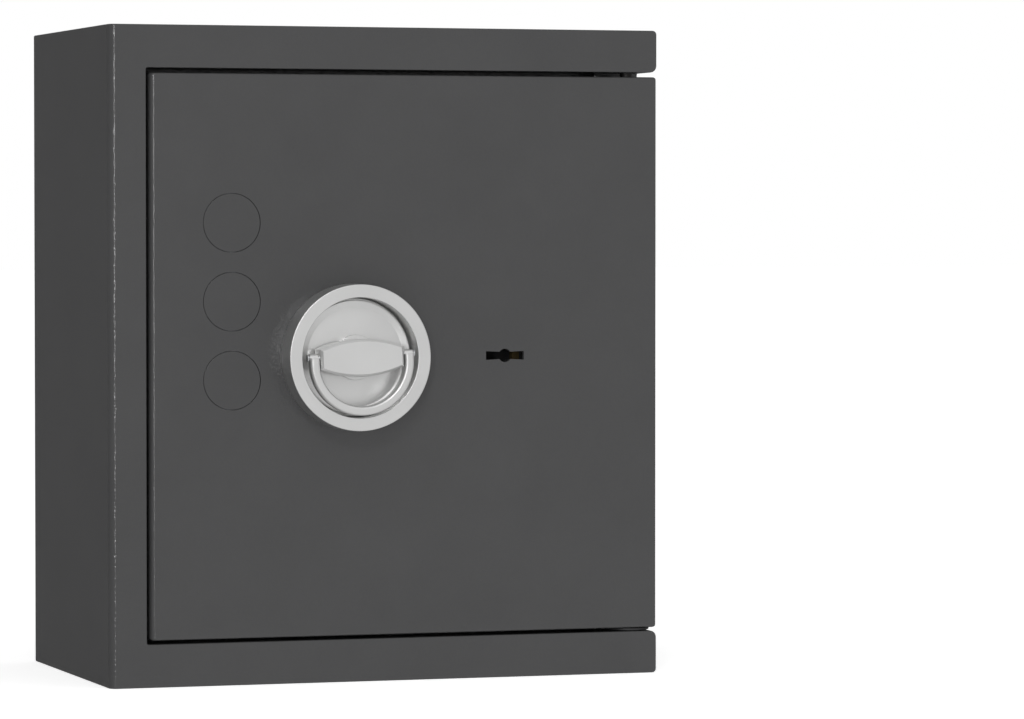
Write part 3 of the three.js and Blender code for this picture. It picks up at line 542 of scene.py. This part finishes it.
def liner():
    """The sheet box that the space inside is lined with, and its flange round the opening."""
    (left, front, bottom), (right, back, top) = extent("inner_liner")
    half = extent("insulation_right")[0][0] - GAP
    high = extent("insulation_left")[1][2]
    xs = [left, -half, THIN - half, half - THIN, half, right]
    ys = [front, front + THIN, back - THIN, back]
    zs = [bottom, -high, THIN - high, high - THIN, high, top]

    def is_sheet(x, y, z):
        if abs(x) < half - THIN and abs(z) < high - THIN and y < back - THIN:
            return False
        return y < front + THIN or (abs(x) < half and abs(z) < high)

    bm = cells(xs, ys, zs, is_sheet)
    holes = [placed(rod(ANCHOR["clear"], back - CUT, back + CUT), x, 0, z) for x, z in ANCHORS]
    for name in PEGS:
        (_, near, low), (peg_right, far, high_side) = extent(name)
        hole = along_x(rod(PEG["hole"], -CUT, CUT))
        side = half if peg_right > 0 else -half
        holes.append(placed(hole, side, (near + far) / 2, (low + high_side) / 2))
    bm = combined(bm, holes)
    piece("liner_box", bm, "casing", "powder_coat", bevel=0.6, stands_for=["inner_liner"])


def shelf():
    (left, front, bottom), (right, back, top) = extent("shelf")
    xs = [left, right]
    ys = [front, front + THIN, back]
    zs = [bottom, top - THIN, top]
    bm = cells(xs, ys, zs, lambda x, y, z: y < front + THIN or z > top - THIN)
    round_edges(bm, line_edges(bm, "x", y=front, z=top), SHELF_BEND)
    piece("shelf_tray", bm, "casing", "powder_coat", bevel=0.4, stands_for=["shelf"])


def shelf_pegs():
    for name in PEGS:
        (left, front, bottom), (right, back, top) = extent(name)
        bm = along_x(rod(PEG["radius"], left, right, PEG["round"], ROUND_STEPS["small"]))
        placed(bm, 0, (front + back) / 2, (bottom + top) / 2)
        piece(f"{name}_stud", bm, "casing", "bright_steel", stands_for=[name])


def hinge_parts():
    """The pins that stand in the casing, the bushes that turn on them, and the washer under the door."""
    for name, way in (("upper", 1), ("lower", -1)):
        low, high = (corner[2] for corner in extent(f"hinge_pin_{name}"))
        pin = rod(PIN["radius"], low, high, PIN["round"], ROUND_STEPS["small"])
        bm = placed(along_z(pin), HINGE[0], HINGE[1])
        piece(f"hinge_pivot_{name}", bm, "casing", "dark_steel", stands_for=[f"hinge_pin_{name}"])
        low, high = (corner[2] for corner in extent(f"hinge_bush_{name}"))
        inside, outside = (low, high) if way > 0 else (high, low)
        shoulder = inside + way * BUSH["tall"]
        profile = [(PIN["bore"], inside, SOFT), (BUSH["radius"], inside, ROUNDED),
                   (BUSH["radius"], shoulder, ROUNDED), (BUSH["neck"], shoulder, 0),
                   (BUSH["neck"], outside, EASED), (PIN["bore"], outside, EASED)]
        bm = placed(along_z(turned(profile, ROUND_STEPS["usual"], closed=True)), HINGE[0], HINGE[1])
        piece(f"hinge_sleeve_{name}", bm, "door", "brass_parts", stands_for=[f"hinge_bush_{name}"])
    (left, _, low), (right, _, high) = extent("hinge_washer")
    radius = (right - left) / 2
    profile = [(PIN["bore"], low, FINE), (radius, low, EASED),
               (radius, high, EASED), (PIN["bore"], high, FINE)]
    bm = placed(along_z(turned(profile, closed=True)), HINGE[0], HINGE[1])
    piece("hinge_thrust_washer", bm, "door", "nylon", stands_for=["hinge_washer"])


# ------------------------------------------------------------------ door

def keyhole(front, back):
    """The cutter for the double-bit keyhole: two flaring wings and a round middle."""
    end, waist, tip = KEY["half"], KEY["waist"], KEY["tip"]
    half = [(-end, -tip, EASED), (0, -waist, 0), (end, -tip, EASED)]
    corners = half + [(-x, -z, radius) for x, z, radius in half]
    wings = placed(prism(filleted(corners, 3, closed=True), front, back), KEY["x"], 0, KEY["z"])
    middle = placed(rod(KEY["round"], front - OVERLAP, back + OVERLAP), KEY["x"], 0, KEY["z"])
    return [wings, middle]


def plug_places():
    for number in (1, 2, 3):
        (left, _, bottom), (right, _, top) = extent(f"blanking_plug_{number}")
        yield f"blanking_plug_{number}", (left + right) / 2, (bottom + top) / 2


def door_skin():
    """The folded pan, with its holes."""
    tab_xs = [x + way * TAB["half"] for x, _ in COVER_SCREWS for way in (-1, 1)]
    tab_zs = [z - math.copysign(TAB["beyond"], z) for _, z in COVER_SCREWS]
    inner_x = (DOOR_LEFT + SHEET, DOOR_RIGHT - SHEET)
    inner_z = (DOOR_BOTTOM + SHEET, DOOR_TOP - SHEET)
    xs = sorted({DOOR_LEFT, *inner_x, *tab_xs, DOOR_RIGHT})
    ys = [FRONT, FRONT + DOOR_PLATE, DOOR_BACK - TAB["thick"], DOOR_BACK]
    zs = sorted({DOOR_BOTTOM, *inner_z, *tab_zs, DOOR_TOP})

    def is_pan(x, y, z):
        if y < FRONT + DOOR_PLATE or not inner_x[0] < x < inner_x[1] or not inner_z[0] < z < inner_z[1]:
            return True
        at_corner = any(abs(x - spot) < TAB["half"] for spot, _ in COVER_SCREWS)
        return at_corner and abs(z) > abs(tab_zs[0]) and y > DOOR_BACK - TAB["thick"]

    bm = cells(xs, ys, zs, is_pan)
    round_edges(bm, line_edges(bm, "z", x=DOOR_LEFT, y=FRONT), DOOR_BEND["left"], steps=8)
    round_edges(bm, line_edges(bm, "z", x=DOOR_RIGHT, y=FRONT), DOOR_BEND["right"], steps=8)
    for level in (DOOR_TOP, DOOR_BOTTOM):
        behind = edges_at(bm, "y", DOOR_BACK)
        round_edges(bm, [edge for edge in edges_at(bm, "z", level) if edge not in behind], DOOR_BEND["level"])
    front, back = FRONT - CUT, FRONT + DOOR_PLATE + CUT
    steps = ROUND_STEPS["large"]
    cutters = [placed(rod(PLUG["hole"], front, back, steps=steps), x, 0, z) for _, x, z in plug_places()]
    cutters.append(placed(rod(CUP["neck"] + GAP, front, back, steps=steps), HANDLE[0], 0, HANDLE[2]))
    cutters += keyhole(front, back)
    cutters += [placed(along_z(rod(HINGE_HOLE, low, low + 2 * CUT)), HINGE[0], HINGE[1])
                for low in (DOOR_TOP - CUT, DOOR_BOTTOM - CUT)]
    cutters += [placed(rod(SCREW["hole"], DOOR_BACK - CUT, DOOR_BACK + CUT), x, 0, z)
                for x, z in COVER_SCREWS]
    bm = combined(bm, cutters)
    piece("door_skin", bm, "door", "powder_coat", bevel=0.28, stands_for=["door_panel"])


def blanking_plugs():
    for name, x, z in plug_places():
        back = FRONT + DOOR_PLATE
        corners = [(0, FRONT, 0), (PLUG["radius"], FRONT, EASED), (PLUG["radius"], back, 0), (0, back, 0)]
        piece(f"{name}_disc", placed(turned(corners), x, 0, z), "door", "powder_coat", stands_for=[name])


def rear_cover():
    """A shallow pressed box over the boltwork, with a flange that is screwed to the door."""
    (left, front, bottom), (right, _, top) = extent("rear_cover")
    half, back = COVER["half"], COVER["back"]
    xs = [left, COVER["left"], COVER["left"] + THIN, COVER["right"] - THIN, COVER["right"], right]
    ys = [front, front + THIN, back - THIN, back]
    zs = [bottom, -half, THIN - half, half - THIN, half, top]

    def is_sheet(x, y, z):
        within = COVER["left"] + THIN < x < COVER["right"] - THIN and abs(z) < half - THIN
        if within and y < back - THIN:
            return False
        return y < front + THIN or (COVER["left"] < x < COVER["right"] and abs(z) < half)

    bm = cells(xs, ys, zs, is_sheet)
    for x in (COVER["left"], COVER["right"]):
        for z in (-half, half):
            round_edges(bm, line_edges(bm, "y", span=(front + THIN, back), x=x, z=z), COVER["corner"])
    round_edges(bm, edges_at(bm, "y", back), COVER["bend"])
    cutters = [placed(along_x(rod(BOLT["bore"], -CUT, CUT)), COVER["left"], BOLT["y"], z)
               for z in BOLT["heights"]]
    cutters += [placed(rod(SCREW["hole"], front - CUT, front + CUT), x, 0, z) for x, z in COVER_SCREWS]
    bm = combined(bm, cutters)
    piece("boltwork_cover", bm, "door", "powder_coat", bevel=0.3, stands_for=["rear_cover"])


def side_bar():
    """The fixed hook that stands behind the jamb."""
    (left, front, bottom), (right, back, top) = extent("hinge_side_bar")
    thick = HOOK["thick"]
    xs = [left, left + thick, right]
    ys = [front, back - thick, back]
    bm = cells(xs, ys, [bottom, top], lambda x, y, z: x < left + thick or y > back - thick)
    round_edges(bm, line_edges(bm, "z", x=left, y=back), HOOK["bend"])
    piece("hinge_side_hook", bm, "door", "powder_coat", bevel=0.5, stands_for=["hinge_side_bar"])


def screws():
    """Pan heads with a cross recess."""
    for node in [n for n in frame["nodes"] if "_screw_" in n]:
        (left, front, bottom), (right, back, top) = extent(node)
        seat = back - SCREW["thick"]
        shank, head = SCREW["shank"], SCREW["head"]
        profile = [(0, front, 0), (shank, front, SCREW["tip"]), (shank, seat, 0),
                   (head, seat, FINE), (head, back, SCREW["crown"]), (0, back, 0)]
        wide, narrow = ((-RECESS[size], RECESS[size]) for size in ("long", "wide"))
        recess = [block(*across, back - OVERLAP, back + OVERLAP, *up)
                  for across, up in ((wide, narrow), (narrow, wide))]
        bm = combined(turned(profile, ROUND_STEPS["small"]), recess)
        placed(bm, (left + right) / 2, 0, (bottom + top) / 2)
        piece(f"{node}_pan_head", bm, "door", "zinc_steel", stands_for=[node])


def bolts():
    """Round bolts with a rounded nose, riveted through the bar's flange."""
    for node in ("bolt_upper", "bolt_lower"):
        (left, front, bottom), (right, back, top) = extent(node)
        shoulder = extent("bolt_bar")[0][0] - GAP
        neck, rivet, under = RIVET["neck"], RIVET["head"], right - RIVET["thick"]
        profile = [(0, left, 0), (BOLT["radius"], left, BOLT["nose"]), (BOLT["radius"], shoulder, EASED),
                   (neck, shoulder, 0), (neck, under, 0), (rivet, under, FINE),
                   (rivet, right, RIVET["round"]), (0, right, 0)]
        bm = placed(along_x(turned(profile)), 0, (front + back) / 2, (bottom + top) / 2)
        piece(f"{node}_pin", bm, "boltwork", "bright_steel", stands_for=[node])


# ------------------------------------------------------------------ handle

def on_handle(bm, slack=SLACK):
    """Moves a mesh made round the handle's axis to its place, standing off level by the grip's slack."""
    return placed(bm, HANDLE[0], 0, HANDLE[2], turn=(-slack, "Y"))


def cup():
    """The fixed cup, from its thick ring in front of the door to its neck behind it."""
    seat = FRONT - CUP["lift"]
    profile = [(CUP["outer"], seat, 0), (CUP["outer"], FACE, CUP["face_round"]), (CUP["inner"], FACE, SOFT),
               (CUP["inner"], CUP["floor"], CUP["floor_round"]), (CUP["bore"], CUP["floor"], 0),
               (CUP["bore"], CUP["back"], 0), (CUP["neck"], CUP["back"], SOFT), (CUP["neck"], seat, 0)]
    bm = on_handle(turned(profile, ROUND_STEPS["handle"], closed=True), slack=0)
    piece("handle_cup", bm, "door", "satin_metal", stands_for=["handle_escutcheon"], sharp=60)


def dish():
    """The shallow dish that turns inside the cup, with a raised rim."""
    back, front, rim_front = DISH["back"], DISH["front"], DISH["rim_front"]
    profile = [(0, back, 0), (DISH["rim"], back, EASED), (DISH["rim"], rim_front, EASED),
               (DISH["lip"], rim_front, DISH["lip_round"]), (DISH["flat"], front, ROUNDED), (0, front, 0)]
    bm = on_handle(turned(profile, ROUND_STEPS["handle"]))
    piece("handle_dish", bm, "handle", "satin_metal", stands_for=["handle_rotor"], sharp=60)


def barrel(inset, y, steps=28):
    """The grip's outline at one depth: two flat arcs, drawn in from the full size by an inset."""
    rise = GRIP["middle"] - GRIP["end"]
    bow = (GRIP["half"] ** 2 + rise ** 2) / (2 * rise)
    centre = GRIP["middle"] - bow
    sweep = math.asin((GRIP["half"] - inset) / (bow - inset))
    angles = [sweep * (2 * s / steps - 1) for s in range(steps + 1)]
    upper = [((bow - inset) * math.sin(t), centre + (bow - inset) * math.cos(t)) for t in angles]
    return [(x, y, z) for x, z in upper + [(-x, -z) for x, z in upper]]


def grip():
    """The barrel-shaped grip with eased front and back edges, on its round boss."""
    back, chamfer = GRIP["back"], GRIP["chamfer"]
    front_loops = [barrel(chamfer, GRIP_FRONT), barrel(0, GRIP_FRONT + chamfer)]
    bm = loft([*front_loops, barrel(0, back - chamfer), barrel(chamfer, back)])
    inside, end = back - OVERLAP, DISH["front"] - GRIP["clear"]
    boss = turned([(0, inside, 0), (GRIP["boss"], inside, FINE), (GRIP["boss"], end, 0), (0, end, 0)])
    bm = on_handle(combined(bm, [boss], "UNION"))
    piece("handle_grip", bm, "handle", "satin_metal", bevel=0.16, bevel_steps=2, stands_for=["handle_bridge"])


def drop_ring():
    """A half round with straight legs, and a knuckle on each leg round the pin."""
    radius, width, drop = DROP_RING["radius"], DROP_RING["width"], DROP_RING["drop"]
    middle = (DROP_RING["front"] + DROP_RING["back"]) / 2
    depth = DROP_RING["back"] - DROP_RING["front"]
    a, b = width / 2, depth / 2
    behind, ahead = DROP_RING["back_round"], DROP_RING["front_round"]
    section = filleted([(-a, -b, behind), (a, -b, behind), (a, b, ahead), (-a, b, ahead)], 5, closed=True)
    top = RING_PIN["z"]
    path = [(Vector((-radius, middle, top)), Vector((-1, 0, 0)))]
    for s in range(DROP_RING["stations"] + 1):
        turn = math.pi * s / DROP_RING["stations"]
        out = Vector((-math.cos(turn), 0, -math.sin(turn)))
        path.append((Vector((0, middle, -drop)) + out * radius, out))
    path.append((Vector((radius, middle, top)), Vector((1, 0, 0))))
    bm = swept(path, section)
    near, far = radius - a, radius + a
    knuckles = []
    for start, end in ((-far, -near), (near, far)):
        knuckle = along_x(rod(DROP_RING["eye"], start, end, EASED))
        knuckles.append(placed(knuckle, 0, RING_PIN["y"], RING_PIN["z"]))
    bm = on_handle(combined(bm, knuckles, "UNION"))
    piece("drop_ring", bm, "bail", "satin_metal", stands_for=["bail"])


def ring_pin():
    """The pin that the drop ring hangs on, with a head at each end."""
    reach, head, shaft = RING_PIN["reach"], RING_PIN["head"], RING_PIN["radius"]
    end = reach + RING_PIN["head_thick"]
    profile = [(0, -end, 0), (head, -end, FULL), (head, -reach, HAIR), (shaft, -reach, 0),
               (shaft, reach, 0), (head, reach, HAIR), (head, end, FULL), (0, end, 0)]
    bm = placed(along_x(turned(profile, ROUND_STEPS["small"])), 0, RING_PIN["y"], RING_PIN["z"])
    piece("drop_ring_pin", on_handle(bm), "handle", "bright_steel", stands_for=["bail_pin"])


# ------------------------------------------------------------------ pieces kept from the CAD model

def dress_cad_pieces():
    """The pieces inside keep their CAD shapes, with their edges eased."""
    for name, obj in frame["nodes"].items():
        if obj.hide_render:
            continue
        slot = next(s["material_slot"] for s in frame["record"]["subparts"] if s["node"] == name)
        dress(obj, MATERIALS[slot])
        eased = obj.modifiers.new("eased edges", "BEVEL")
        eased.width = CAD_EASE * MM
        eased.segments = 2
        eased.limit_method = "ANGLE"
        eased.angle_limit = math.radians(EDGE_ANGLE)


casing()
back_plate()
liner()
shelf()
shelf_pegs()
hinge_parts()
door_skin()
blanking_plugs()
rear_cover()
side_bar()
screws()
bolts()
cup()
dish()
grip()
drop_ring()
ring_pin()
dress_cad_pieces()


# ------------------------------------------------------------------ stage

def floor():
    bm = bmesh.new()
    bmesh.ops.create_grid(bm, x_segments=1, y_segments=1, size=FLOOR["size"])
    mesh = bpy.data.meshes.new("floor")
    bm.to_mesh(mesh)
    bm.free()
    obj = bpy.data.objects.new("floor", mesh)
    obj.location.z = CASE_BOTTOM * MM
    obj.visible_glossy = False
    bpy.context.scene.collection.objects.link(obj)
    material, shader = new_material("pale_floor", (FLOOR["tone"],) * 3, 0.0, FLOOR["roughness"])
    shader.inputs["Emission Color"].default_value = WHITE
    shader.inputs["Emission Strength"].default_value = FLOOR["glow"]
    obj.data.materials.append(material)


def area_light(name, place, width, height, power):
    """An oval light that points at the safe."""
    light = bpy.data.lights.new(name, "AREA")
    light.shape = "ELLIPSE"
    light.size = width
    light.size_y = height
    light.energy = power
    obj = bpy.data.objects.new(name, light)
    obj.location = place
    obj.rotation_euler = (Vector(SAFE_MIDDLE) - Vector(place)).to_track_quat("-Z", "Y").to_euler()
    bpy.context.scene.collection.objects.link(obj)


def sky():
    """A soft room, brighter in front, on the right, above and below. The camera sees plain white."""
    world = bpy.data.worlds.new("studio")
    world.use_nodes = True
    tree = world.node_tree
    soft = tree.nodes["Background"]
    place = tree.nodes.new("ShaderNodeTexCoord")
    split = tree.nodes.new("ShaderNodeSeparateXYZ")
    tree.links.new(place.outputs["Generated"], split.inputs["Vector"])

    def multiplied(first, second):
        node = tree.nodes.new("ShaderNodeMath")
        node.operation = "MULTIPLY"
        tree.links.new(first, node.inputs[0])
        tree.links.new(second, node.inputs[1])
        return node.outputs["Value"]

    def graded(value, start, end, levels):
        node = tree.nodes.new("ShaderNodeMapRange")
        node.inputs["From Min"].default_value = start
        node.inputs["From Max"].default_value = end
        node.inputs["To Min"].default_value = levels[0]
        node.inputs["To Max"].default_value = levels[1]
        tree.links.new(value, node.inputs["Value"])
        return node.outputs["Result"]

    along, across, up = split.outputs["Y"], split.outputs["X"], split.outputs["Z"]
    level = graded(along, -1, 1, SKY["front_to_back"])
    level = multiplied(level, graded(across, -1, 1, SKY["left_to_right"]))
    level = multiplied(level, graded(multiplied(up, up), 0, 1, SKY["level_to_upright"]))
    tree.links.new(level, soft.inputs["Strength"])
    soft.inputs["Color"].default_value = WHITE
    seen = tree.nodes.new("ShaderNodeBackground")
    seen.inputs["Color"].default_value = WHITE
    path = tree.nodes.new("ShaderNodeLightPath")
    mix = tree.nodes.new("ShaderNodeMixShader")
    tree.links.new(path.outputs["Is Camera Ray"], mix.inputs["Fac"])
    tree.links.new(soft.outputs["Background"], mix.inputs[1])
    tree.links.new(seen.outputs["Background"], mix.inputs[2])
    tree.links.new(mix.outputs["Shader"], tree.nodes["World Output"].inputs["Surface"])
    bpy.context.scene.world = world


def camera():
    """A long lens to the left of the safe and a little above its middle."""
    data = bpy.data.cameras.new("camera")
    data.sensor_width = CAMERA["sensor"]
    data.lens = CAMERA["lens"]
    data.clip_end = CAMERA["clip_end"]
    obj = bpy.data.objects.new("camera", data)
    obj.location = CAMERA["place"]
    obj.rotation_euler = (math.radians(90 - CAMERA["down"]), 0, math.radians(-CAMERA["right"]))
    bpy.context.scene.collection.objects.link(obj)
    bpy.context.scene.camera = obj


floor()
area_light("key", **KEY_LIGHT)
area_light("strip", **STRIP_LIGHT)
sky()
camera()
bpy.context.scene.view_settings.view_transform = "Standard"
